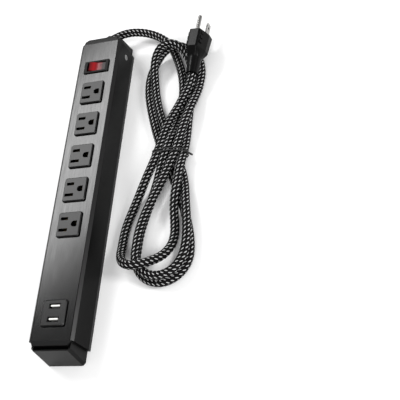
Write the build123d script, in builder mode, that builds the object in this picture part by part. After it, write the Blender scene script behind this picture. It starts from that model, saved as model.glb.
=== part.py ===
"""Power strip: five outlets, a lit rocker switch, two USB ports and a braided cord wound in a hank.

Millimetres. The origin is on the floor under the middle of the housing, +Y runs along the
housing to the end that the cord leaves, +X to the side that the hank lies on, +Z is up.
"""

import os
from math import cos, pi, radians, sin, tan

from build123d import *

# Driving dimensions of the housing
length = 350.0  # extruded channel, without the end caps
width = 50.0
top = 36.5  # upper face of the brushed face plate
wall = 1.6  # channel walls
shoulder = 2.7  # slanted edges beside the face plate
plate_thick = 1.2
plate_width = 43.2
base_thick = 1.5
base_lip = 4.0  # turned-up rim of the base cover, seen along the bottom of the sides

# The row of fittings, measured from the middle of the housing
outlet_pitch = 40.0
outlet_ys = [107.0 - outlet_pitch * i for i in range(5)]
switch_y = 141.7
usb_y = -147.5
proud = 2.4  # how far the outlet faces stand above the plate
outlet_size = (26.4, 27.6)
face_corner = 2.2  # rounding of the corners of the outlet and USB faces
usb_size = (26.4, 27.0)
bezel_size = (30.6, 16.0)

# A grounded outlet: two blade slots across the housing and a ground hole beside them
blade_gap = 12.7
ground_offset = 11.9
blade_x = -5.9
ground_x = blade_x + ground_offset
hot_slot = (8.6, 3.4)
neutral_slot = (10.2, 3.4)
ground_hole = 6.6

# End caps: chamfered boxes that flare outward to the base
cap_half = 21.6
cap_corner = 2.6
cap_top = 33.0
cap_out_top = 9.0
cap_out_base = 14.5
lip_out = 4.7
lip_half = 19.4
cap_slot = 3.1

# Rocker switch
rocker_size = (22.0, 11.0)
rocker_tilt = 10.0
pin_z = 30.5
lever_z = 20.9
lever_tilt = 8.0

# Cord and plug
cord_d = 9.2
cord_r = cord_d / 2
hank_height = 2 * cord_d
gland_x, gland_z = -4.0, 17.0
gland_turn = 65.0  # the outlet of the gland looks this far round from +Y to +X
plug_face = (114.4, 174.5, 22.2)  # middle of the face that the blades stand on
plug_turn = 6.0  # the plug points this far round from +Y to +X

# Control points of the cord where it isn't wound
lead_route = [
    (2.2, 192.7, 17.0),
    (12.0, 197.3, 17.0),
    (26.0, 200.3, 15.2),
    (43.0, 199.6, 10.8),
    (59.0, 193.2, 6.8),
    (71.5, 182.5, 4.8),
    (78.5, 169.5, 4.7),
]
tail_route = [
    (109.3, 126.2, 18.6),
    (108.4, 119.5, 17.2),
    (104.6, 110.0, 15.2),
    (99.4, 99.0, 13.9),
    (94.4, 87.0, 14.0),
    (88.8, 75.0, 14.8),
]

os.makedirs("parts", exist_ok=True)


def save(piece, name):
    """Label a finished piece and write it under that name."""
    piece.part.label = name
    export_step(piece.part, f"parts/{name}.step")


def tube_along(points, radius):
    """A round tube on straight runs joined by the largest arcs that the runs allow."""
    spots = [Vector(*p) for p in points]
    runs = [b - a for a, b in zip(spots, spots[1:])]
    radii = []
    for before, after in zip(runs, runs[1:]):
        half_turn = radians(before.get_angle(after) / 2)
        radii.append(0.45 * min(before.length, after.length) / tan(half_turn))
    with BuildPart() as tube:
        with BuildLine() as path:
            FilletPolyline(*spots, radius=radii)
        with BuildSketch(Plane(origin=spots[0], z_dir=runs[0])):
            Circle(radius)
        sweep(path=path.wire())
    expected = pi * radius**2 * path.wire().length
    print("radii", [round(r, 1) for r in radii], "volume", round(tube.part.volume / expected, 4))
    return tube


def group(name, make, places):
    """Copies of one small solid, kept as separate solids in one node."""
    with BuildPart() as copies:
        with Locations(*places):
            add(make)
    save(copies, name)


# ---------------------------------------------------------------------------
# Housing channel: a black aluminium extrusion, open at the bottom, with slanted
# shoulders and a bed that the face plate lies in.
half = width / 2
bed = top - plate_thick
side_foot = base_lip + 0.2
bond_y, bond_z = length / 2 - 12, 18.0  # the bonding screw, on the +X side near the cord end
with BuildPart() as housing_channel:
    with BuildSketch(Plane.XZ.offset(-length / 2)):
        with BuildLine():
            Polyline(
                (-half, side_foot),
                (-half, top - shoulder),
                (-half + shoulder, top),
                (-plate_width / 2 - 0.3, top),
                (-plate_width / 2 - 0.3, bed),
                (plate_width / 2 + 0.3, bed),
                (plate_width / 2 + 0.3, top),
                (half - shoulder, top),
                (half, top - shoulder),
                (half, side_foot),
                (half - wall, side_foot),
                (half - wall, bed - wall - 1.5),
                (half - wall - 1.5, bed - wall),
                (-half + wall + 1.5, bed - wall),
                (-half + wall, bed - wall - 1.5),
                (-half + wall, side_foot),
                close=True,
            )
        make_face()
    extrude(amount=length)
    with BuildSketch(Plane.XY.offset(bed - wall - 1)):
        with Locations(*[(0, y) for y in outlet_ys]):
            RectangleRounded(outlet_size[0] + 0.4, outlet_size[1] + 0.4, face_corner)
        with Locations((0, usb_y)):
            RectangleRounded(usb_size[0] + 0.4, usb_size[1] + 0.4, face_corner)
        with Locations((0, switch_y)):
            Rectangle(bezel_size[0] - 2.2, bezel_size[1] - 1.6)
    extrude(amount=6, mode=Mode.SUBTRACT)
    # hole for the bonding screw
    with BuildSketch(Plane.YZ.offset(half - wall - 0.5)):
        with Locations((bond_y, bond_z)):
            Circle(3.5)
    extrude(amount=wall + 1, mode=Mode.SUBTRACT)
save(housing_channel, "housing_channel")

# Face plate: brushed aluminium, dropped into the channel's bed.
with BuildPart() as face_plate:
    with BuildSketch(Plane.XY.offset(bed + 0.02)):
        Rectangle(plate_width, length)
        with Locations(*[(0, y) for y in outlet_ys]):
            RectangleRounded(outlet_size[0] + 0.3, outlet_size[1] + 0.3, face_corner, mode=Mode.SUBTRACT)
        with Locations((0, usb_y)):
            RectangleRounded(usb_size[0] + 0.3, usb_size[1] + 0.3, face_corner, mode=Mode.SUBTRACT)
        with Locations((0, switch_y)):
            Rectangle(bezel_size[0] - 2.2, bezel_size[1] - 1.6, mode=Mode.SUBTRACT)
    extrude(amount=plate_thick - 0.02)
save(face_plate, "face_plate")

# Base cover: steel sheet with a turned-up rim below the channel's sides and countersunk holes.
screw_x = 14.0
screw_ys = [-170.5, -33.0, 87.0, 170.5]
screw_spots = [(s * screw_x, y) for s in (-1, 1) for y in screw_ys]
with BuildPart() as base_cover:
    with BuildSketch(Plane.XY):
        Rectangle(width, length)
    extrude(amount=base_lip)
    with BuildSketch(Plane.XY.offset(base_thick)):
        Rectangle(width - 2 * base_thick, length)
    extrude(amount=base_lip, mode=Mode.SUBTRACT)
    with BuildSketch(Plane.XY):
        with Locations(*screw_spots):
            Circle(1.6)
    extrude(amount=base_thick, mode=Mode.SUBTRACT)
    with BuildSketch(Plane.XY):
        with Locations(*screw_spots):
            Circle(2.8)
    extrude(amount=1.2, taper=45, mode=Mode.SUBTRACT)
save(base_cover, "base_cover")


# End caps: moulded boxes that plug into the channel's ends. The end wall flares outward to
# the base, a thin tongue continues the face plate, and a deep slot lies behind the tongue.
def end_cap(side, name):
    """The cap on one end: side is +1 for the cord end and -1 for the other."""
    root = side * length / 2

    def outline(out):
        """Plan of the cap out to a given distance from the channel's end."""
        tip = root + side * out
        return [
            (-cap_half, root),
            (-cap_half, tip - side * cap_corner),
            (-cap_half + cap_corner, tip),
            (cap_half - cap_corner, tip),
            (cap_half, tip - side * cap_corner),
            (cap_half, root),
        ]

    with BuildPart() as cap:
        with BuildSketch(Plane.XY):
            with BuildLine():
                Polyline(*outline(cap_out_base), close=True)
            make_face()
        with BuildSketch(Plane.XY.offset(cap_top)):
            with BuildLine():
                Polyline(*outline(cap_out_top), close=True)
            make_face()
        loft()
        # the plug-in collar inside the channel
        collar_foot = base_thick + 0.2
        collar_top = bed - wall - 0.3
        with BuildSketch(Plane.XZ.offset(-root)):
            with Locations((0, (collar_foot + collar_top) / 2)):
                Rectangle(2 * (half - wall - 0.4), collar_top - collar_foot)
            with Locations((half - wall - 0.4, collar_top), (-half + wall + 0.4, collar_top)):
                Rectangle(4.4, 4.4, rotation=45, mode=Mode.SUBTRACT)
        extrude(amount=9.0 * side)
        # hollow of the cap and collar
        with BuildSketch(Plane.XZ.offset(-root - side * 8.5)):
            with Locations((0, 16.0)):
                Rectangle(2 * cap_half - 6, 18.0)
        extrude(amount=19.0 * side, mode=Mode.SUBTRACT)
        # tongue that carries on the face plate
        with BuildSketch(Plane.XY.offset(cap_top - 6.0)):
            with BuildLine():
                Polyline(
                    (-cap_half, root),
                    (-lip_half, root + side * lip_out),
                    (lip_half, root + side * lip_out),
                    (cap_half, root),
                    close=True,
                )
            make_face()
        extrude(amount=top - cap_top + 6.0)
        # slot between the tongue and the end wall
        with BuildSketch(Plane.XY.offset(cap_top - 6.0)):
            with Locations((0, root + side * (lip_out + cap_slot / 2))):
                Rectangle(2 * lip_half, cap_slot)
        extrude(amount=12, mode=Mode.SUBTRACT)
        # pilot holes for the screws that come up through the base cover
        with BuildSketch(Plane.XY):
            with Locations((-screw_x, root - side * 4.5), (screw_x, root - side * 4.5)):
                Circle(1.5)
        extrude(amount=7.2, mode=Mode.SUBTRACT)
        if side > 0:
            # round hole that the cord gland sits in
            with BuildSketch(Plane.XZ.offset(-root)):
                with Locations((gland_x, gland_z)):
                    Circle(6.6)
            extrude(amount=-16, mode=Mode.SUBTRACT)
    save(cap, name)


end_cap(1, "end_cap_cord")
end_cap(-1, "end_cap_plain")

# Countersunk screws come up through the base cover into the end caps and the strip carrier.
with BuildPart() as base_screw:
    with BuildSketch(Plane.XY.offset(0.05)):
        Circle(2.7)
    extrude(amount=1.2, taper=45)
    with BuildSketch(Plane.XY.offset(0.05)):
        Circle(1.45)
    extrude(amount=6.8)
    with BuildSketch(Plane.XY):
        Rectangle(2.8, 0.7)
        Rectangle(0.7, 2.8)
    extrude(amount=0.8, mode=Mode.SUBTRACT)
group("base_screws", base_screw.part, [(x, y, 0) for x, y in screw_spots])

# Bonding screw: its head stands in a hole in the channel's side, beside the cord's end.
with BuildPart() as bonding_screw:
    with BuildSketch(Plane.YZ.offset(half - 1.4)):
        with Locations((bond_y, bond_z)):
            Circle(3.2)
    extrude(amount=1.2)
    with BuildSketch(Plane.YZ.offset(half - 0.9)):
        with Locations((bond_y, bond_z)):
            Rectangle(3.6, 0.8)
            Rectangle(0.8, 3.6)
    extrude(amount=1.0, mode=Mode.SUBTRACT)
    with BuildSketch(Plane.YZ.offset(half - 9.0)):
        with Locations((bond_y, bond_z)):
            Circle(1.9)
    extrude(amount=7.6)
save(bonding_screw, "bonding_screw")

# ---------------------------------------------------------------------------
# Outlets: a moulded face with three openings over contact chambers open at the back.
face_z = top + proud
body_foot = 17.0
skin = 2.6


def receptacle(y, name):
    """One outlet block, its flange bearing against the underside of the channel's web."""
    with BuildPart() as block:
        with BuildSketch(Plane.XY.offset(body_foot)):
            with Locations((0, y)):
                RectangleRounded(*outlet_size, face_corner)
        extrude(amount=face_z - body_foot)
        chamfer(block.edges().group_by(Axis.Z)[-1], 1.0)
        with BuildSketch(Plane.XY.offset(bed - wall - 3.2)):
            with Locations((0, y)):
                Rectangle(outlet_size[0] + 6, outlet_size[1] + 5)
        extrude(amount=3.0)
        # openings in the face
        with BuildSketch(Plane.XY.offset(face_z - skin - 1)):
            with Locations((blade_x, y + blade_gap / 2)):
                Rectangle(*hot_slot)
            with Locations((blade_x, y - blade_gap / 2)):
                Rectangle(*neutral_slot)
            with Locations((ground_x, y)):
                Circle(ground_hole / 2)
            with Locations((ground_x + ground_hole / 4, y)):
                Rectangle(ground_hole / 2, ground_hole)
        extrude(amount=skin + 2, mode=Mode.SUBTRACT)
        # chambers behind them
        with BuildSketch(Plane.XY.offset(body_foot)):
            with Locations((blade_x, y + blade_gap / 2), (blade_x, y - blade_gap / 2)):
                Rectangle(11.0, 7.0)
            with Locations((ground_x, y)):
                Rectangle(8.4, 8.4)
        extrude(amount=face_z - skin - body_foot, mode=Mode.SUBTRACT)
    save(block, name)


for number, outlet_y in enumerate(outlet_ys, start=1):
    receptacle(outlet_y, f"receptacle_{number}")

# Contact strips: one brass strip for each pole, with a pair of spring leaves at each outlet.
strip_z, strip_thick, leaf = 13.0, 0.8, 0.6
leaf_top = face_z - skin - 2.0
bar_long = outlet_ys[0] - outlet_ys[-1] + 26.0
bar_mid = (outlet_ys[0] + outlet_ys[-1]) / 2


def contact_strip(name, bar_x, contact_x, shift, gap, leaf_width):
    """A bar along Y, with leaves that stand either side of where the blade or pin goes."""
    with BuildPart() as strip:
        with BuildSketch(Plane.XY.offset(strip_z)):
            with Locations((bar_x, bar_mid)):
                Rectangle(4.0, bar_long)
            for y in outlet_ys:
                with Locations(((bar_x + contact_x) / 2, y + shift)):
                    Rectangle(abs(bar_x - contact_x) + leaf_width, gap + 2 * leaf)
        extrude(amount=strip_thick)
        with BuildSketch(Plane.XY.offset(strip_z)):
            for y in outlet_ys:
                for side in (-1, 1):
                    with Locations((contact_x, y + shift + side * (gap + leaf) / 2)):
                        Rectangle(leaf_width, leaf)
        extrude(amount=leaf_top - strip_z)
    save(strip, name)


contact_strip("hot_strip", -12.0, blade_x - 0.6, blade_gap / 2, 1.4, 4.4)
contact_strip("neutral_strip", 0.4, blade_x + 0.4, -blade_gap / 2, 1.4, 4.4)
contact_strip("ground_strip", ground_x + 6.5, ground_x, 0.0, 4.6, 4.0)

# Insulating carrier that the strips lie on, with a rib on each side and feet for the screws.
with BuildPart() as strip_carrier:
    with BuildSketch(Plane.XY.offset(strip_z - 3.0)):
        with Locations((0, bar_mid)):
            Rectangle(40.0, bar_long + 6)
    extrude(amount=2.9)
    with BuildSketch(Plane.XY.offset(strip_z - 0.2)):
        with Locations((-19.0, bar_mid), (19.0, bar_mid)):
            Rectangle(2.0, bar_long + 6)
    extrude(amount=3.6)
    with BuildSketch(Plane.XY.offset(base_thick + 0.1)):
        with Locations(*[(s * screw_x, y) for s in (-1, 1) for y in screw_ys[1:3]]):
            Circle(3.2)
    extrude(amount=strip_z - 3.0 - base_thick)
    with BuildSketch(Plane.XY):
        with Locations(*[(s * screw_x, y) for s in (-1, 1) for y in screw_ys[1:3]]):
            Circle(1.5)
    extrude(amount=7.4, mode=Mode.SUBTRACT)
save(strip_carrier, "strip_carrier")

# ---------------------------------------------------------------------------
# Rocker switch: a bezel and body snapped into the plate, a red lens rocker on a steel pin.
body_low = 17.0
bezel_high = 1.6
bore_r = 1.05
with BuildPart() as switch_body:
    with BuildSketch(Plane.XY.offset(top + 0.02)):
        with Locations((0, switch_y)):
            RectangleRounded(*bezel_size, 1.2)
    extrude(amount=bezel_high)
    chamfer(switch_body.edges().group_by(Axis.Z)[-1], 0.6)
    with BuildSketch(Plane.XY.offset(body_low)):
        with Locations((0, switch_y)):
            Rectangle(bezel_size[0] - 3.0, bezel_size[1] - 2.4)
    extrude(amount=top + 0.2 - body_low)
    with BuildSketch(Plane.XY.offset(body_low + 1.6)):
        with Locations((0, switch_y)):
            Rectangle(rocker_size[0] + 1.0, rocker_size[1] + 0.6)
    extrude(amount=24, mode=Mode.SUBTRACT)
    # blind bores for the rocker's pin
    with BuildSketch(Plane.XZ.offset(-switch_y - 6.5)):
        with Locations((0, pin_z)):
            Circle(bore_r)
    extrude(amount=13.0, mode=Mode.SUBTRACT)
    # slots for the three terminals
    with BuildSketch(Plane.XY.offset(body_low - 1)):
        with Locations(*[(x, switch_y) for x in (-8.0, 0.0, 8.0)]):
            Rectangle(1.0, 6.5)
    extrude(amount=5, mode=Mode.SUBTRACT)
save(switch_body, "switch_body")

with BuildPart() as rocker_pin:
    with BuildSketch(Plane.XZ.offset(-switch_y - 6.4)):
        with Locations((0, pin_z)):
            Circle(1.0)
    extrude(amount=12.8)
save(rocker_pin, "rocker_pin")

# Rocker: two flat wings in a shallow V and a nose that works the contact lever. It rests
# with its +X wing pressed down.
tilt = radians(rocker_tilt)
rocker_plane = Plane(
    origin=(0, switch_y + rocker_size[1] / 2, pin_z),
    x_dir=(cos(tilt), 0, -sin(tilt)),
    z_dir=(0, -1, 0),
)
reach = rocker_size[0] / 2
wing_up, valley_up, skirt, nose = 7.9, 6.3, -0.5, -8.6
with BuildPart() as switch_rocker:
    with BuildSketch(rocker_plane):
        with BuildLine():
            Polyline(
                (-reach * 0.62, skirt),
                (-reach * 0.97, wing_up - 4.0),
                (-reach * 0.86, wing_up),
                (0, valley_up),
                (reach * 0.86, wing_up),
                (reach * 0.97, wing_up - 4.0),
                (reach * 0.62, skirt),
                (2.4, skirt),
                (0.9, nose),
                (-0.9, nose),
                (-2.4, skirt),
                close=True,
            )
        make_face()
        Circle(bore_r, mode=Mode.SUBTRACT)
    extrude(amount=rocker_size[1])
    # hollows under the wings for the lamp's light
    with BuildSketch(rocker_plane.offset(2.0)):
        with Locations((-5.2, 1.6), (5.2, 1.6)):
            Rectangle(4.4, 5.2)
    extrude(amount=rocker_size[1] - 4.0, mode=Mode.SUBTRACT)
save(switch_rocker, "switch_rocker")

# Contact lever: a see-saw strip that rocks on the middle terminal, the other way round.
lean = radians(lever_tilt)
lever_plane = Plane(
    origin=(0, switch_y + 2.0, lever_z),
    x_dir=(cos(lean), 0, sin(lean)),
    z_dir=(0, -1, 0),
)
with BuildPart() as contact_lever:
    with BuildSketch(lever_plane):
        Rectangle(19.0, 0.8)
    extrude(amount=4.0)
    with BuildSketch(Plane(origin=(0, switch_y, lever_z), x_dir=lever_plane.x_dir, z_dir=lever_plane.y_dir)):
        with Locations((-8.0, 0), (8.0, 0)):
            Circle(1.4)
    extrude(amount=0.7)
save(contact_lever, "contact_lever")

# Terminals: three brass blades through the body's floor.
terminal_tops = {-8.0: 19.1, 0.0: 20.1, 8.0: 19.1}
with BuildPart() as switch_terminals:
    for x, blade_top in terminal_tops.items():
        with BuildSketch(Plane.XY.offset(10.0)):
            with Locations((x, switch_y)):
                Rectangle(0.8, 6.3)
        extrude(amount=blade_top - 10.0)
save(switch_terminals, "switch_terminals")

with BuildPart() as switch_lamp:
    with BuildSketch(Plane.XZ.offset(-switch_y - 4.0)):
        with Locations((-7.6, 26.2)):
            Circle(1.4)
    extrude(amount=8.0)
    fillet(switch_lamp.edges(), 0.9)
save(switch_lamp, "switch_lamp")

# ---------------------------------------------------------------------------
# USB charger: a moulded face over two sockets, a circuit board and its transformer.
port_size = (12.2, 4.9)
port_ys = [usb_y - 6.75, usb_y + 6.75]
with BuildPart() as usb_module:
    with BuildSketch(Plane.XY.offset(24.0)):
        with Locations((0, usb_y)):
            RectangleRounded(*usb_size, face_corner)
    extrude(amount=face_z - 24.0)
    chamfer(usb_module.edges().group_by(Axis.Z)[-1], 1.0)
    with BuildSketch(Plane.XY.offset(bed - wall - 3.2)):
        with Locations((0, usb_y)):
            Rectangle(usb_size[0] + 6, usb_size[1] + 5)
    extrude(amount=3.0)
    with BuildSketch(Plane.XY.offset(23.0)):
        with Locations(*[(0.6, y) for y in port_ys]):
            Rectangle(port_size[0] + 1.0, port_size[1] + 1.0)
    extrude(amount=face_z, mode=Mode.SUBTRACT)
save(usb_module, "usb_module")

shell = 0.4
board_z = 20.0
with BuildPart() as usb_shells:
    with BuildSketch(Plane.XY.offset(board_z + 1.6)):
        with Locations(*[(0.6, y) for y in port_ys]):
            Rectangle(port_size[0] + 0.8, port_size[1] + 0.8)
            Rectangle(port_size[0], port_size[1], mode=Mode.SUBTRACT)
    extrude(amount=face_z - 0.2 - board_z - 1.6)
save(usb_shells, "usb_shells")

with BuildPart() as usb_tongues:
    with BuildSketch(Plane.XY.offset(board_z + 1.6)):
        with Locations(*[(0.6, y) for y in port_ys]):
            Rectangle(port_size[0] - 0.2, port_size[1] - 0.2)
    extrude(amount=3.0)
    with BuildSketch(Plane.XY.offset(board_z + 1.6)):
        with Locations(*[(0.6, y + 0.7) for y in port_ys]):
            Rectangle(9.8, 1.5)
    extrude(amount=face_z - 0.9 - board_z - 1.6)
save(usb_tongues, "usb_tongues")

with BuildPart() as usb_board:
    with BuildSketch(Plane.XY.offset(board_z)):
        with Locations((0, usb_y)):
            Rectangle(26.0, 34.0)
    extrude(amount=1.55)
save(usb_board, "usb_board")

with BuildPart() as usb_transformer:
    with BuildSketch(Plane.XY.offset(board_z - 11.1)):
        with Locations((3.5, usb_y - 4)):
            Rectangle(15.0, 14.0)
    extrude(amount=11.0)
    chamfer(usb_transformer.edges().filter_by(Axis.Z), 1.5)
save(usb_transformer, "usb_transformer")

with BuildPart() as usb_capacitor:
    with BuildSketch(Plane.XY.offset(board_z - 12.1)):
        with Locations((-7.0, usb_y + 10)):
            Circle(4.0)
    extrude(amount=12.0)
    fillet(usb_capacitor.edges().group_by(Axis.Z)[0], 0.6)
save(usb_capacitor, "usb_capacitor")

# ---------------------------------------------------------------------------
# Wires inside the housing.
wire_r = 1.3
strip_top = strip_z + strip_thick + wire_r + 0.02
save(
    tube_along([(-7, 173, 16), (-9, 164, 13), (-9.5, 155, 9.5), (-8, 148, 8.3), (-8, 140, 8.6)], wire_r),
    "wire_line",
)
save(
    tube_along(
        [(0, 142, 8.5), (-3, 134, 8.3), (-9, 129.5, 12), (-12, 125.5, strip_top), (-12, 119, strip_top)],
        wire_r,
    ),
    "wire_switched",
)
save(
    tube_along(
        [
            (-1, 173, 16),
            (5, 165, 13),
            (13, 157, 9.5),
            (17, 146, 8),
            (14, 134, 9),
            (6, 127.5, 13.5),
            (0.4, 124.5, strip_top),
            (0.4, 119, strip_top),
        ],
        wire_r,
    ),
    "wire_neutral",
)
save(
    tube_along(
        [
            (-4, 173, 21),
            (4, 167, 21),
            (12, 161.5, 20.5),
            (17.4, 156, 18),
            (18.4, 147, 15.4),
            (18, 137, 15),
            (15, 128.5, strip_top),
            (12.5, 122.5, strip_top),
            (12.5, 118, strip_top),
        ],
        wire_r,
    ),
    "wire_ground",
)
with BuildPart() as usb_wires:
    far = outlet_ys[-1] - 13.0
    for x, end_x in ((-12.0, -9.0), (0.4, 4.0)):
        route = [
            (x, far + 3, strip_top),
            (x, far - 6, strip_top),
            (end_x, far - 18, 16.5),
            (end_x, far - 38, 18.0),
            (end_x, usb_y + 17.1, 20.8),
        ]
        add(tube_along(route, wire_r).part)
save(usb_wires, "usb_wires")

# ---------------------------------------------------------------------------
# Cord gland: a stiff elbow through the cap's wall that turns the cord toward +X.
elbow_r = 6.0
elbow_foot = length / 2 + 11.0
with BuildPart() as cord_gland:
    with BuildSketch(Plane.XZ.offset(-length / 2 - 1.0)):
        with Locations((gland_x, gland_z)):
            Circle(6.4)
    extrude(amount=-11.0)
    with BuildSketch(Plane.XZ.offset(-length / 2)):
        with Locations((gland_x, gland_z)):
            Circle(7.8)
    extrude(amount=-8.2)
    with BuildLine() as bend:
        elbow_start = (gland_x, elbow_foot, gland_z)
        elbow = JernArc(start=elbow_start, tangent=(0, 1, 0), radius=elbow_r, arc_size=-gland_turn)
        Line(elbow @ 1, (elbow @ 1) + (elbow % 1) * 3.0)
    with BuildSketch(Plane.XZ.offset(-elbow_foot)):
        with Locations((gland_x, gland_z)):
            Circle(5.7)
    sweep(path=bend.wire())
print("gland ends at", bend.wire() @ 1, "towards", bend.wire() % 1)
save(cord_gland, "cord_gland")

# Cord between the gland and the hank.
save(tube_along(lead_route, cord_r), "power_cord_lead")
save(tube_along(tail_route, cord_r), "power_cord_tail")

# Hank: six passes of cord pressed together at the waist, two layers deep except on the
# side where the plug lies.
outer = [
    (45, -72), (45, -38), (54, -14), (66, 18), (72, 40), (66, 68), (52, 106), (48, 134),
    (53, 156), (67, 177), (84, 182), (101, 172), (113, 150), (116, 120), (113, 88), (108, 58),
    (108, 26), (116, -18), (127, -62), (126, -86), (110, -108), (90, -112), (70, -102), (53, -90),
]
upper_hole = [(78, 165), (68, 150), (66, 130), (71, 102), (84, 71), (91, 96), (90, 126), (85, 150)]
lower_hole = [(89, 12), (81, -20), (70, -48), (70, -74), (82, -89), (96, -76), (99, -50), (94, -12)]
with BuildPart() as power_cord_hank:
    with BuildSketch(Plane.XY):
        with BuildLine():
            Spline(*outer, periodic=True)
        make_face()
        for hole in (upper_hole, lower_hole):
            with BuildLine():
                Spline(*hole, periodic=True)
            make_face(mode=Mode.SUBTRACT)
    extrude(amount=hank_height)
    with BuildSketch(Plane.XY.offset(cord_d)):
        with Locations((112, 131)):
            Rectangle(50, 104, rotation=3)
    extrude(amount=hank_height, mode=Mode.SUBTRACT)
save(power_cord_hank, "power_cord_hank")

# Tie: a wire twisted twice round the waist of the hank.
with BuildPart() as cord_tie:
    for y in (30.5, 37.0):
        with BuildSketch(Plane.XZ.offset(-y)):
            with Locations((89.4, 9.9)):
                RectangleRounded(40.4, 19.8, 6.0)
                RectangleRounded(38.0, 17.4, 4.8, mode=Mode.SUBTRACT)
        extrude(amount=1.6)
    with BuildSketch(Plane.XY.offset(18.6)):
        with Locations((100.0, 33.0)):
            Rectangle(2.2, 9.0, rotation=8)
    extrude(amount=1.2)
save(cord_tie, "cord_tie")

# ---------------------------------------------------------------------------
# Plug: a straight moulded body whose blades point along +Y, turned a little to +X.
plug_plane = Plane(
    origin=plug_face,
    x_dir=(cos(radians(plug_turn)), -sin(radians(plug_turn)), 0),
    z_dir=(-sin(radians(plug_turn)), -cos(radians(plug_turn)), 0),
)
blade_z = -5.4  # height of the flat blades against the middle of the face
body_back = 21.0
shoulder_back = 30.0
relief_back = 48.5
back_scale = 0.92  # the body narrows this much towards the cord
face_outline = [(-12.3, -11.0), (12.3, -11.0), (12.3, -1.5), (6.0, 12.5), (-6.0, 12.5), (-12.3, -1.5)]
slant_run, slant_rise = 6.3, 14.0  # the slanted sides go in by this much over this height
grip_root = (7.2, 7.6)  # where a grip stands, just under a slanted side
grip_spots = [3.5, 9.0, 14.5]  # the grips' distances back from the face


def plug_section(scale):
    """The plug's outline: wide by the flat blades, narrow by the ground pin."""
    Polygon(*[(scale * x, scale * y) for x, y in face_outline], align=None)
    fillet(plug_sketch.vertices(), 2.5)


with BuildPart() as plug_body:
    with BuildSketch(plug_plane) as plug_sketch:
        plug_section(1.0)
    with BuildSketch(plug_plane.offset(body_back)) as plug_sketch:
        plug_section(back_scale)
    loft()
    with BuildSketch(plug_plane.offset(body_back)) as plug_sketch:
        plug_section(back_scale)
    with BuildSketch(plug_plane.offset(shoulder_back)):
        with Locations((0, -1.8)):
            Circle(7.8)
    loft()
    with BuildSketch(plug_plane.offset(shoulder_back)):
        with Locations((0, -1.8)):
            Circle(7.8)
    with BuildSketch(plug_plane.offset(relief_back)):
        with Locations((0, -3.6)):
            Circle(6.4)
    loft()
    # raised grips on the two slanted sides
    for side in (-1, 1):
        for back in grip_spots:
            grip_plane = Plane(
                origin=plug_plane.from_local_coords((side * grip_root[0], grip_root[1], back)),
                x_dir=plug_plane.z_dir,
                z_dir=plug_plane.x_dir * (side * slant_rise) + plug_plane.y_dir * slant_run,
            )
            with BuildSketch(grip_plane):
                Rectangle(3.0, 3.6)
            extrude(amount=1.5)
save(plug_body, "plug_body")


def flat_blade(side, tall, name):
    """One flat blade with its locking hole, on the side of the face given by its sign."""
    with BuildPart() as blade:
        with BuildSketch(plug_plane.offset(-17.8)):
            with Locations((side * blade_gap / 2, blade_z)):
                Rectangle(1.5, tall)
        extrude(amount=17.8)
        chamfer(blade.edges().group_by(Axis.Y)[-1], 0.5)
        hole_plane = Plane(
            origin=plug_plane.from_local_coords((side * blade_gap / 2, blade_z, -11.9)),
            z_dir=plug_plane.x_dir,
        )
        with BuildSketch(hole_plane.offset(-2)):
            Circle(1.6)
        extrude(amount=4, mode=Mode.SUBTRACT)
    save(blade, name)


flat_blade(1, 7.9, "plug_blade_neutral")
flat_blade(-1, 6.3, "plug_blade_hot")
with BuildPart() as plug_ground_pin:
    with BuildSketch(plug_plane.offset(-21.3)):
        with Locations((0, blade_z + ground_offset)):
            Circle(2.38)
    extrude(amount=21.3)
    fillet(plug_ground_pin.edges().group_by(Axis.Y)[-1], 1.4)
save(plug_ground_pin, "plug_ground_pin")
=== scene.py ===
"""A metal power strip with its braided cord tied in a hank: its looks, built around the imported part."""

import math

import bpy
from mathutils import Matrix, Vector


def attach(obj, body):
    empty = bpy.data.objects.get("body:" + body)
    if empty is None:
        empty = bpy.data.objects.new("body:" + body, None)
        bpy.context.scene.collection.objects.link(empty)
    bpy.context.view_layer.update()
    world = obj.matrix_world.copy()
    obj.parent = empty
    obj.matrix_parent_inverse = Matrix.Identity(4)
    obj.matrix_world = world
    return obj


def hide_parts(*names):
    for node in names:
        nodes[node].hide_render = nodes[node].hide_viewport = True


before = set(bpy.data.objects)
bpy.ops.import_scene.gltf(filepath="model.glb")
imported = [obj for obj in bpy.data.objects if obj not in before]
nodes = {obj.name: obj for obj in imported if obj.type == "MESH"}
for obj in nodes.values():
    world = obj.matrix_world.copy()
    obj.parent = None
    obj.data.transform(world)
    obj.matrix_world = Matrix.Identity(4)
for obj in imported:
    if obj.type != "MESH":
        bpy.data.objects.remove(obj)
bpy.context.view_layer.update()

# ---------------------------------------------------------------------------------------
# Camera: it stands to the right of the near end and looks down along the strip, through a
# long lens. Right, up and back are its own axes.
camera = bpy.data.objects.new("camera", bpy.data.cameras.new("camera"))
bpy.context.collection.objects.link(camera)
camera.data.lens = 75.93
camera.data.sensor_width = 36.0
camera.data.clip_start = 0.01
right = Vector((0.9298, 0.0887, -0.3571))
up = Vector((0.0825, 0.8955, 0.4373))
back = Vector((0.3586, -0.4361, 0.8254))
turned = Matrix((right, up, back)).transposed().to_4x4()
camera.matrix_world = Matrix.Translation((0.4337, -0.3933, 0.7095)) @ turned
bpy.context.scene.camera = camera
bpy.context.scene.view_settings.view_transform = "Standard"

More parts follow.
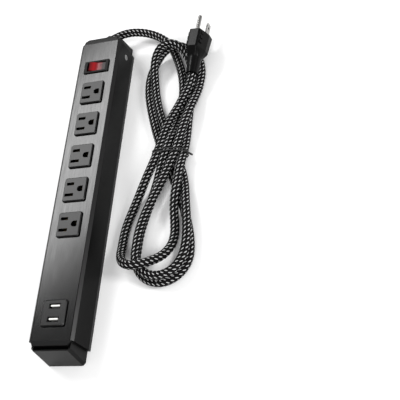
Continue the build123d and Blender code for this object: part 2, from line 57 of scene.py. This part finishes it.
# ---------------------------------------------------------------------------------------
# Cord: three insulated copper wires under a woven textile sleeve, black with pale flecks.
# It leaves the cord end, is laid in three long figure-of-eight turns that are tied at the
# waist, and ends in the plug. The lead and the tail repeat the part's own route.
cord_width = 0.0092
cord_step = 0.00105  # from one ring of the tube to the next
cord_sides = 24
lead = [
    (2.2, 192.7, 17.0), (12.0, 197.3, 17.0), (26.0, 200.3, 15.2), (43.0, 199.6, 10.8),
    (59.0, 193.2, 6.8), (71.5, 182.5, 4.8), (78.5, 169.5, 4.7),
]
first_turn = [
    (84.5, 156, 4.7), (90, 141, 4.7), (93.8, 125, 4.7), (95.4, 109, 4.7),
    (94.8, 93, 4.7), (93.4, 79, 5.2), (91.8, 66, 8.4), (90, 53, 13),
    (87.8, 41, 14), (85.2, 29, 13.8), (81.8, 16, 10.6), (77.5, 0, 6.4),
    (72.5, -18, 4.7), (67.6, -38, 4.7), (64.4, -56, 4.7), (64, -72, 4.7),
    (64, -88.4, 4.7), (75.1, -103.7, 4.7), (93, -109.5, 4.7), (110.9, -103.7, 4.7),
    (122, -88.4, 4.7), (122.4, -70, 4.7), (117.3, -47, 4.7), (109.2, -25, 4.7),
    (100.6, -5, 4.7), (92.4, 13, 4.7), (84.2, 30, 4.7), (76.2, 47, 4.7),
    (68.8, 65, 4.7), (62.4, 84, 4.7), (56.6, 103, 4.7), (52.8, 121, 4.7),
    (52.2, 138, 4.7), (56, 153, 5), (64.5, 165.5, 9.6), (76.6, 171, 14),
]
second_turn = [
    (90, 172.4, 11.4), (102, 166.4, 6.2), (110.5, 155, 4.7), (114.4, 139.5, 4.7),
    (114.3, 126, 4.8), (113, 113, 6.2), (111.2, 100, 9.6), (108.8, 87, 13),
    (105.6, 73, 14), (102.4, 59, 14), (99.8, 45, 14), (96.8, 31, 14),
    (92, 16, 14), (86.2, 0, 14), (79, -18, 14), (72, -37, 14),
    (67.8, -55, 14), (67, -71, 14), (67, -86.9, 14), (77, -100.6, 14),
    (93, -105.8, 14), (109, -100.6, 14), (119, -86.9, 14), (121.4, -69, 14),
    (119, -46, 13.8), (115, -25, 12.4), (111, -8, 8), (106.4, 8, 5),
    (100.2, 24, 4.7), (92, 40, 4.7), (84, 56, 4.7), (76.6, 72, 4.7),
    (70.4, 88, 4.7), (64.8, 105, 4.8), (61.4, 122, 6), (59.6, 138, 9.4),
    (60, 150, 14.2), (63.8, 161, 19.2), (71.5, 168.8, 22.6),
]
third_turn = [
    (81.5, 170.4, 22.2), (91, 167, 18), (97.6, 158.5, 11.6), (101.6, 147.5, 6.8),
    (103.8, 134.5, 4.8), (104.4, 117, 4.7), (104.6, 101, 4.7), (104.8, 85, 4.7),
    (104.8, 69, 4.7), (105, 54, 4.8), (105.2, 40, 6.8), (105.2, 27, 11),
    (104.8, 13, 13.9), (104, -2, 14), (102.6, -17, 13.2), (101.8, -32, 9.2),
    (102.8, -46, 5.2), (104, -59, 5), (102.5, -72, 7.6), (95.5, -84, 12.6),
    (84.5, -91.5, 18.8), (71.5, -96.5, 23.3), (58.5, -93, 20.2), (49.6, -82.5, 12),
    (46.8, -67.5, 5.6), (47, -51, 4.7), (50.6, -35, 4.8), (56.4, -20, 6.4),
    (63, -5, 10.2), (69.2, 9, 13.6), (74, 22, 14.1), (77.6, 35, 14.1),
    (80.6, 48, 14.1), (83.8, 61.5, 14.8), (88.8, 75, 14.8), (94.4, 87, 14),
]
tail = [
    (99.4, 99, 13.9), (104.6, 110, 15.2), (108.4, 119.5, 17.2), (109.3, 126.2, 18.6),
]


def open_spline(name, points):
    """A curve of one open spline with these control points, in millimetres."""
    curve = bpy.data.curves.new(name, "CURVE")
    curve.dimensions = "3D"
    curve.resolution_u = 12
    spline = curve.splines.new("NURBS")
    spline.points.add(len(points) - 1)
    for control, place in zip(spline.points, points):
        control.co = (place[0] / 1000, place[1] / 1000, place[2] / 1000, 1)
    spline.order_u = 3
    spline.use_endpoint_u = True
    return curve


def even_line(curve, step):
    """Points along a curve's own line, a set distance apart."""
    holder = bpy.data.objects.new(curve.name + "_line", curve)
    mesh = bpy.data.meshes.new_from_object(holder)
    line = [v.co.copy() for v in mesh.vertices]
    bpy.data.objects.remove(holder)
    bpy.data.meshes.remove(mesh)
    reach = [0.0]
    for a, b in zip(line, line[1:]):
        reach.append(reach[-1] + (b - a).length)
    count = int(reach[-1] / step)
    even = []
    i = 0
    for k in range(count + 1):
        at = reach[-1] * k / count
        while i < len(line) - 2 and reach[i + 1] < at:
            i += 1
        even.append(line[i].lerp(line[i + 1], (at - reach[i]) / (reach[i + 1] - reach[i])))
    return even, reach[-1]


def tube_mesh(name, line, radius_at, sides):
    """A tube along a line, with closed ends. Its UV map is in metres along and turns round."""
    tangents = []
    for i in range(len(line)):
        tangents.append((line[min(i + 1, len(line) - 1)] - line[max(i - 1, 0)]).normalized())
    across = tangents[0].cross(Vector((0, 0, 1))).normalized()
    points = []
    along = [0.0]
    for i, centre in enumerate(line):
        if i:
            across = tangents[i - 1].rotation_difference(tangents[i]) @ across
            along.append(along[-1] + (centre - line[i - 1]).length)
        across = (across - across.dot(tangents[i]) * tangents[i]).normalized()
        other = tangents[i].cross(across)
        for k in range(sides):
            angle = 2 * math.pi * k / sides
            out = math.cos(angle) * across + math.sin(angle) * other
            points.append(centre + radius_at(along[i], angle) * out)
    faces = []
    for i in range(len(line) - 1):
        for k in range(sides):
            n = (k + 1) % sides
            faces.append((i * sides + k, i * sides + n, (i + 1) * sides + n, (i + 1) * sides + k))
    sleeve = len(faces)
    faces.append(tuple(reversed(range(sides))))
    faces.append(tuple(range((len(line) - 1) * sides, len(line) * sides)))
    mesh = bpy.data.meshes.new(name)
    mesh.from_pydata(points, [], faces)
    uv = mesh.uv_layers.new(name="sleeve")
    for face in mesh.polygons:
        face.use_smooth = True
        if face.index >= sleeve:
            continue
        i, k = divmod(face.index, sides)
        corners = ((i, k), (i, k + 1), (i + 1, k + 1), (i + 1, k))
        for loop, (ring, step) in zip(face.loop_indices, corners):
            uv.data[loop].uv = (along[ring], step / sides)
    return mesh


def add_piece(name, data, body):
    """A new object of the part, riding on one of its bodies."""
    piece = bpy.data.objects.new(name, data)
    bpy.context.collection.objects.link(piece)
    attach(piece, body)
    return piece


def linear(hex_colour):
    """A six-digit sRGB colour as linear red, green, blue and an alpha of 1."""
    parts = [int(hex_colour[i : i + 2], 16) / 255 for i in (0, 2, 4)]
    return [c / 12.92 if c <= 0.04045 else ((c + 0.055) / 1.055) ** 2.4 for c in parts] + [1.0]


def put(material, kind, inputs=None, **settings):
    """Adds a node with its settings. An input is a plain value, or another node's output."""
    tree = material.node_tree
    node = tree.nodes.new(kind)
    for key, value in settings.items():
        setattr(node, key, value)
    for key, value in (inputs or {}).items():
        if isinstance(value, bpy.types.NodeSocket):
            tree.links.new(value, node.inputs[key])
        else:
            node.inputs[key].default_value = value
    return node


def new_material(name, **inputs):
    """A material with one Principled shader, whose inputs are named with _ for a space."""
    material = bpy.data.materials.new(name)
    material.use_nodes = True
    shader = material.node_tree.nodes["Principled BSDF"]
    for key, value in inputs.items():
        shader.inputs[key.replace("_", " ")].default_value = value
    return material, shader


def join(material, output, shader, key):
    """Links an output to one of the shader's inputs."""
    material.node_tree.links.new(output, shader.inputs[key])


# Woven polyester sleeve: matt black yarn, with a pale fleck where a light yarn comes to the
# top. Matt black keeps the coils dark, and the slanted dashes show how each pass turns. The
# rows shift by half a step; seven is odd, so the half steps don't meet along one line.
fleck_pitch = 0.0046
fleck_rows = 7
fleck_half_length = 0.3  # as a share of the pitch
fleck_half_width = 0.14  # as a share of a row
fleck_slant = -0.8
weave_bump = 0.0001
math_node = "ShaderNodeMath"
polyester, polyester_shader = new_material("woven_polyester", Roughness=0.8, Specular_IOR_Level=0.12)
place = put(polyester, "ShaderNodeUVMap", uv_map="sleeve")
split = put(polyester, "ShaderNodeSeparateXYZ", {0: place.outputs[0]})

# Each fleck is an oval in its own cell, one pitch long and one row wide.
row_place = put(polyester, math_node, {0: split.outputs[1], 1: fleck_rows}, operation="MULTIPLY")
row = put(polyester, math_node, {0: row_place.outputs[0]}, operation="FLOOR")
stagger = put(polyester, math_node, {0: row.outputs[0], 1: 0.5}, operation="MULTIPLY")
step_place = put(
    polyester,
    math_node,
    {0: split.outputs[0], 1: 1 / fleck_pitch, 2: stagger.outputs[0]},
    operation="MULTIPLY_ADD",
)
step_part = put(polyester, math_node, {0: step_place.outputs[0]}, operation="FRACT")
row_part = put(polyester, math_node, {0: row_place.outputs[0]}, operation="FRACT")
along_cell = put(polyester, math_node, {0: step_part.outputs[0], 1: 0.5}, operation="SUBTRACT")
across_cell = put(polyester, math_node, {0: row_part.outputs[0], 1: 0.5}, operation="SUBTRACT")
slant = put(
    polyester,
    math_node,
    {0: along_cell.outputs[0], 1: fleck_slant, 2: across_cell.outputs[0]},
    operation="MULTIPLY_ADD",
)
long_part = put(
    polyester, math_node, {0: along_cell.outputs[0], 1: fleck_half_length}, operation="DIVIDE"
)
short_part = put(polyester, math_node, {0: slant.outputs[0], 1: fleck_half_width}, operation="DIVIDE")
long_square = put(polyester, math_node, {0: long_part.outputs[0], 1: 2.0}, operation="POWER")
short_square = put(polyester, math_node, {0: short_part.outputs[0], 1: 2.0}, operation="POWER")
oval = put(
    polyester, math_node, {0: long_square.outputs[0], 1: short_square.outputs[0]}, operation="ADD"
)
fleck = put(polyester, math_node, {0: oval.outputs[0], 1: 1.0}, operation="LESS_THAN")
yarn = put(
    polyester,
    "ShaderNodeMix",
    {"Factor": fleck.outputs[0], "A": linear("080808"), "B": linear("b4b4b4")},
    data_type="RGBA",
)
join(polyester, yarn.outputs["Result"], polyester_shader, "Base Color")


def sleeve_radius(along, angle):
    """The sleeve's radius, with the low bumps of its weave."""
    turn = 2 * math.pi * along / fleck_pitch
    half = fleck_rows / 2 * angle
    return cord_width / 2 + weave_bump * (math.cos(turn + half) + math.cos(turn - half))


cord_route = open_spline("cord_route", lead + first_turn + second_turn + third_turn + tail)
cord_line, cord_length = even_line(cord_route, cord_step)
cord_mesh = tube_mesh("braided_cord", cord_line, sleeve_radius, cord_sides)
cord = add_piece("braided_cord", cord_mesh, "strip")
cord.data.materials.append(polyester)
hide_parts("power_cord_lead", "power_cord_hank", "power_cord_tail")

# ---------------------------------------------------------------------------------------
# Housing channel and base cover: an extruded aluminium channel, anodised black, with a
# pressed steel cover below it. The anodised sides are dull; the slanted shoulders, drawn
# smooth by the die, mirror more and catch a streak of light near the plain end.
anodised, anodised_shader = new_material(
    "black_anodised_aluminium", Base_Color=linear("070707"), Roughness=0.3
)
facing = put(anodised, "ShaderNodeNewGeometry")
facing_split = put(anodised, "ShaderNodeSeparateXYZ", {0: facing.outputs["True Normal"]})
slant_of = put(
    anodised,
    "ShaderNodeMath",
    {0: facing_split.outputs[0], 1: facing_split.outputs[2]},
    operation="MULTIPLY",
)
mirror = put(
    anodised,
    "ShaderNodeMapRange",
    {"Value": slant_of.outputs[0], "From Min": 0.2, "From Max": 0.5, "To Min": 0.04, "To Max": 0.4},
)
join(anodised, mirror.outputs[0], anodised_shader, "Specular IOR Level")
powder_coat, _ = new_material("black_powder_coat", Base_Color=linear("101010"), Roughness=0.55)


def finish_node(name, material):
    """Gives a CAD node one material all over."""
    nodes[name].data.materials.clear()
    nodes[name].data.materials.append(material)


finish_node("housing_channel", anodised)
finish_node("base_cover", powder_coat)

# ---------------------------------------------------------------------------------------
# Face plate: 1.2 mm aluminium sheet, brushed along its length and lacquered clear, lying in
# the channel's bed. The brush lines spread its reflections sideways.
line_spacing = 0.0004  # fine brush lines, drawn as coarse as they need to show
brushed, brushed_shader = new_material(
    "brushed_aluminium", Base_Color=linear("2e2e2e"), Metallic=1.0, Roughness=0.17
)
spot = put(brushed, "ShaderNodeTexCoord")
stretch = put(
    brushed,
    "ShaderNodeMapping",
    {"Vector": spot.outputs["Object"], "Scale": (1 / line_spacing, 1 / (60 * line_spacing), 1.0)},
)
lines = put(brushed, "ShaderNodeTexNoise", {"Vector": stretch.outputs[0], "Scale": 1.0, "Detail": 3.0})
shade = put(brushed, "ShaderNodeValToRGB", {"Fac": lines.outputs["Fac"]})
shade.color_ramp.elements[0].position = 0.3
shade.color_ramp.elements[0].color = linear("252525")
shade.color_ramp.elements[1].position = 0.7
shade.color_ramp.elements[1].color = linear("363636")
join(brushed, shade.outputs["Color"], brushed_shader, "Base Color")
finish_node("face_plate", brushed)

# ---------------------------------------------------------------------------------------
# End caps and gland: black ABS, moulded with a fine satin grain, snapped into the channel.
# The gland is a softer PVC elbow through the cord-end cap that holds the cord.
satin_abs, _ = new_material("satin_abs", Base_Color=linear("080808"), Roughness=0.36, Specular_IOR_Level=0.1)
for name in ("end_cap_cord", "end_cap_plain", "cord_gland"):
    finish_node(name, satin_abs)

# ---------------------------------------------------------------------------------------
# Screws: zinc plated steel. Eight countersunk ones close the base, and one beside the cord
# end bonds the housing to ground.
zinc, _ = new_material("zinc_plated_steel", Base_Color=linear("8c8c8c"), Metallic=1.0, Roughness=0.3)
for name in ("base_screws", "bonding_screw", "rocker_pin"):
    finish_node(name, zinc)

# ---------------------------------------------------------------------------------------
# Outlets and USB face: moulded ABS lacquered in a metallic grey that matches the
# plate, with a smooth gloss.
lacquered, _ = new_material(
    "grey_lacquered_abs", Base_Color=linear("2b2b2b"), Metallic=1.0, Roughness=0.33
)
for name in [f"receptacle_{i}" for i in range(1, 6)] + ["usb_module"]:
    finish_node(name, lacquered)

# ---------------------------------------------------------------------------------------
# Inside: brass contact strips stamped from sheet, on a moulded nylon carrier; copper wires in
# black, white or green PVC; and the charger's board with its steel USB shells. Bright brass
# shows through the ground holes from above; the USB shells are coloured dark as painted shade.
brass, _ = new_material("stamped_brass", Base_Color=linear("d9b35a"), Metallic=1.0, Roughness=0.3)
for name in ("hot_strip", "neutral_strip", "ground_strip", "contact_lever", "switch_terminals"):
    finish_node(name, brass)
plain_black, _ = new_material("black_nylon", Base_Color=linear("1a1a1a"), Roughness=0.6)
for name in ("strip_carrier", "wire_line", "wire_switched", "usb_wires", "usb_transformer"):
    finish_node(name, plain_black)
white_pvc, _ = new_material("white_pvc", Base_Color=linear("e8e8e4"), Roughness=0.4)
for name in ("wire_neutral", "usb_tongues"):
    finish_node(name, white_pvc)
green_pvc, _ = new_material("green_pvc", Base_Color=linear("2f7a3c"), Roughness=0.45)
finish_node("wire_ground", green_pvc)
solder_mask, _ = new_material("green_solder_mask", Base_Color=linear("1f5a30"), Roughness=0.3)
finish_node("usb_board", solder_mask)
# The shells' tinned steel is coloured near black as painted shade for the hollow round each USB tongue; the
# hidden capacitor shares it.
tinned_painted_shade, _ = new_material("tinned_steel_painted_dark", Base_Color=linear("2c2c2c"), Metallic=1.0, Roughness=0.4)
for name in ("usb_shells", "usb_capacitor"):
    finish_node(name, tinned_painted_shade)

# ---------------------------------------------------------------------------------------
# Switch: a black ABS bezel round a rocker of clear red polycarbonate, polished, over a small neon lamp.
# The colours laid across the rocker are painted light for the rest pose: deep red on the raised wing,
# a pale painted reflection on the pressed wing, and painted shade at both ends, fixed as the rocker tilts.
bezel_abs, _ = new_material("bezel_abs", Base_Color=linear("0a0a0a"), Roughness=0.5, Specular_IOR_Level=0.12)
finish_node("switch_body", bezel_abs)
red_lens, red_lens_shader = new_material("red_polycarbonate_painted_light", Roughness=0.35, Specular_IOR_Level=0.18)
lens_place = put(red_lens, "ShaderNodeTexCoord")
lens_split = put(red_lens, "ShaderNodeSeparateXYZ", {0: lens_place.outputs["Object"]})
across_lens = put(
    red_lens, "ShaderNodeMapRange", {"Value": lens_split.outputs[0], "From Min": -0.0105, "From Max": 0.0105}
)
lens_painted_light = put(red_lens, "ShaderNodeValToRGB", {"Fac": across_lens.outputs[0]})
# Stops across the rocker: painted shade at both ends, the rocker's red, then a pale painted reflection on the
# pressed wing.
painted_light_stops = [
    (0.0, "1c0305"), (0.14, "4c060b"), (0.36, "8a0911"), (0.46, "760a12"),
    (0.54, "7c3034"), (0.76, "64282c"), (0.86, "160506"),
]
for position, colour in painted_light_stops[1:-1]:
    lens_painted_light.color_ramp.elements.new(position).color = linear(colour)
lens_painted_light.color_ramp.elements[0].color = linear(painted_light_stops[0][1])
lens_painted_light.color_ramp.elements[-1].position = painted_light_stops[-1][0]
lens_painted_light.color_ramp.elements[-1].color = linear(painted_light_stops[-1][1])
join(red_lens, lens_painted_light.outputs["Color"], red_lens_shader, "Base Color")
finish_node("switch_rocker", red_lens)

# The off mark: a ring printed in dark ink on the pressed wing.
mark_x, mark_y = 0.0056, 0.1429
mark_inner, mark_outer = 0.0011, 0.0016
mark_low, mark_high = 0.03664, 0.03676
mark_edges = (
    (mark_inner, mark_low), (mark_inner, mark_high), (mark_outer, mark_high), (mark_outer, mark_low),
)
ring_steps = 40
ring_points = []
for radius, height in mark_edges:
    for i in range(ring_steps):
        angle = 2 * math.pi * i / ring_steps
        out_x, out_y = radius * math.cos(angle), radius * math.sin(angle)
        ring_points.append((mark_x + out_x, mark_y + out_y, height))
ring_faces = []
for i in range(ring_steps):
    n = (i + 1) % ring_steps
    for band in range(4):
        here = band * ring_steps
        after = (band + 1) % 4 * ring_steps
        ring_faces.append((here + i, after + i, after + n, here + n))
ring_mesh = bpy.data.meshes.new("off_mark")
ring_mesh.from_pydata(ring_points, [], ring_faces)
off_mark = add_piece("off_mark", ring_mesh, "rocker")
dark_ink, _ = new_material("dark_ink", Base_Color=linear("2c0c0e"), Roughness=0.6)
off_mark.data.materials.append(dark_ink)

neon, _ = new_material(
    "neon_glass",
    Base_Color=linear("ffb080"),
    Roughness=0.1,
    Emission_Color=linear("ff7040"),
    Emission_Strength=1.0,
)
finish_node("switch_lamp", neon)

# ---------------------------------------------------------------------------------------
# Tie: soft steel wire in a black PVC coat, wound twice round the waist of the hank and
# twisted together at the side. Thin and matt, it shows as a dark waist with a small end.
tie_width = 0.0013
tie_step = 0.0006
tie_sides = 10
tie_start = 31.4
lap_pitch = 2.6
strand_offset = 0.66
ring = [
    (111.2, 9.6), (109.9, 5.8), (106.0, 2.4), (100.0, 0.8), (92.0, 0.7),
    (84.0, 0.7), (78.4, 2.6), (74.2, 7.6), (71.6, 12.4), (73.0, 17.4),
    (78.0, 19.4), (88.0, 19.6), (97.0, 19.4), (104.0, 16.0), (109.0, 13.0),
]
start, end = Vector((110.6, 33.2, 11.6)), Vector((115.6, 31.0, 8.4))
axis = (end - start).normalized()
side_way = axis.cross(Vector((0, 0, 1))).normalized()
other_way = axis.cross(side_way)
twist_steps = 10


def twist(phase):
    """One of the two strands of the twisted ends, from the hank outward."""
    points = []
    for i in range(twist_steps):
        angle = phase + i * math.pi / 3
        centre = start.lerp(end, i / (twist_steps - 1))
        aside = math.cos(angle) * side_way + math.sin(angle) * other_way
        points.append(tuple(centre + strand_offset * aside))
    return points


wound = []
for lap in range(2):
    for i, (x, z) in enumerate(ring):
        wound.append((x, tie_start + lap_pitch * (lap + i / len(ring)), z))
tie_route = list(reversed(twist(0.0))) + wound + twist(math.pi)
tie_line, _ = even_line(open_spline("tie_route", tie_route), tie_step)


def tie_radius(along, angle):
    """The wire is plain and round."""
    return tie_width / 2


tie = add_piece("twist_tie", tube_mesh("twist_tie", tie_line, tie_radius, tie_sides), "strip")
tie.data.materials.append(plain_black)
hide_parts("cord_tie")

# ---------------------------------------------------------------------------------------
# Plug: soft black PVC moulded in one shot round the cord's end and the blades, with raised
# grips and a tapered strain relief. The PVC has a low sheen; the blades and the ground pin
# are brass, nickel plated, and mirror the white round them.
soft_pvc, _ = new_material("moulded_pvc", Base_Color=linear("060606"), Roughness=0.26, Specular_IOR_Level=0.1)
finish_node("plug_body", soft_pvc)
nickel, _ = new_material("nickel_plated_brass", Base_Color=linear("8f8e8c"), Metallic=1.0, Roughness=0.25)
for name in ("plug_blade_hot", "plug_blade_neutral", "plug_ground_pin"):
    finish_node(name, nickel)

# ---------------------------------------------------------------------------------------
# Floor and light: a matt white sheet under the strip, a long soft box behind and to the left
# that lights the plate, a small one on the right for the shoulder, and a large weak one in
# front. A white world fills the shadows.
floor = bpy.data.objects.new("floor", bpy.data.meshes.new("floor"))
floor.data.from_pydata([(-4, -4, 0), (4, -4, 0), (4, 4, 0), (-4, 4, 0)], [], [(0, 1, 2, 3)])
floor.location.z = -0.0002
bpy.context.collection.objects.link(floor)
white_paper, _ = new_material("white_paper", Base_Color=linear("fbfbfb"), Roughness=0.9)
floor.data.materials.append(white_paper)


def soft_box(name, place, target, size, power):
    """A rectangular area light that faces a point."""
    lamp = bpy.data.lights.new(name, "AREA")
    lamp.shape = "RECTANGLE"
    lamp.size, lamp.size_y = size
    lamp.energy = power
    holder = bpy.data.objects.new(name, lamp)
    holder.location = place
    holder.rotation_euler = (Vector(target) - Vector(place)).to_track_quat("-Z", "Y").to_euler()
    bpy.context.collection.objects.link(holder)


soft_box("back_left_box", (-0.715, 0.745, 1.15), (0, 0.04, 0), (0.9, 0.34), 14.5)
soft_box("right_box", (1.34, -0.1, 0.85), (0, 0, 0), (0.4, 0.4), 12)
soft_box("front_box", (0.5, -1.6, 1.5), (0, 0, 0), (1.2, 0.8), 17)
world = bpy.data.worlds.new("studio")
bpy.context.scene.world = world
world.use_nodes = True
world.node_tree.nodes["Background"].inputs["Color"].default_value = (1, 1, 1, 1)
world.node_tree.nodes["Background"].inputs["Strength"].default_value = 0.55
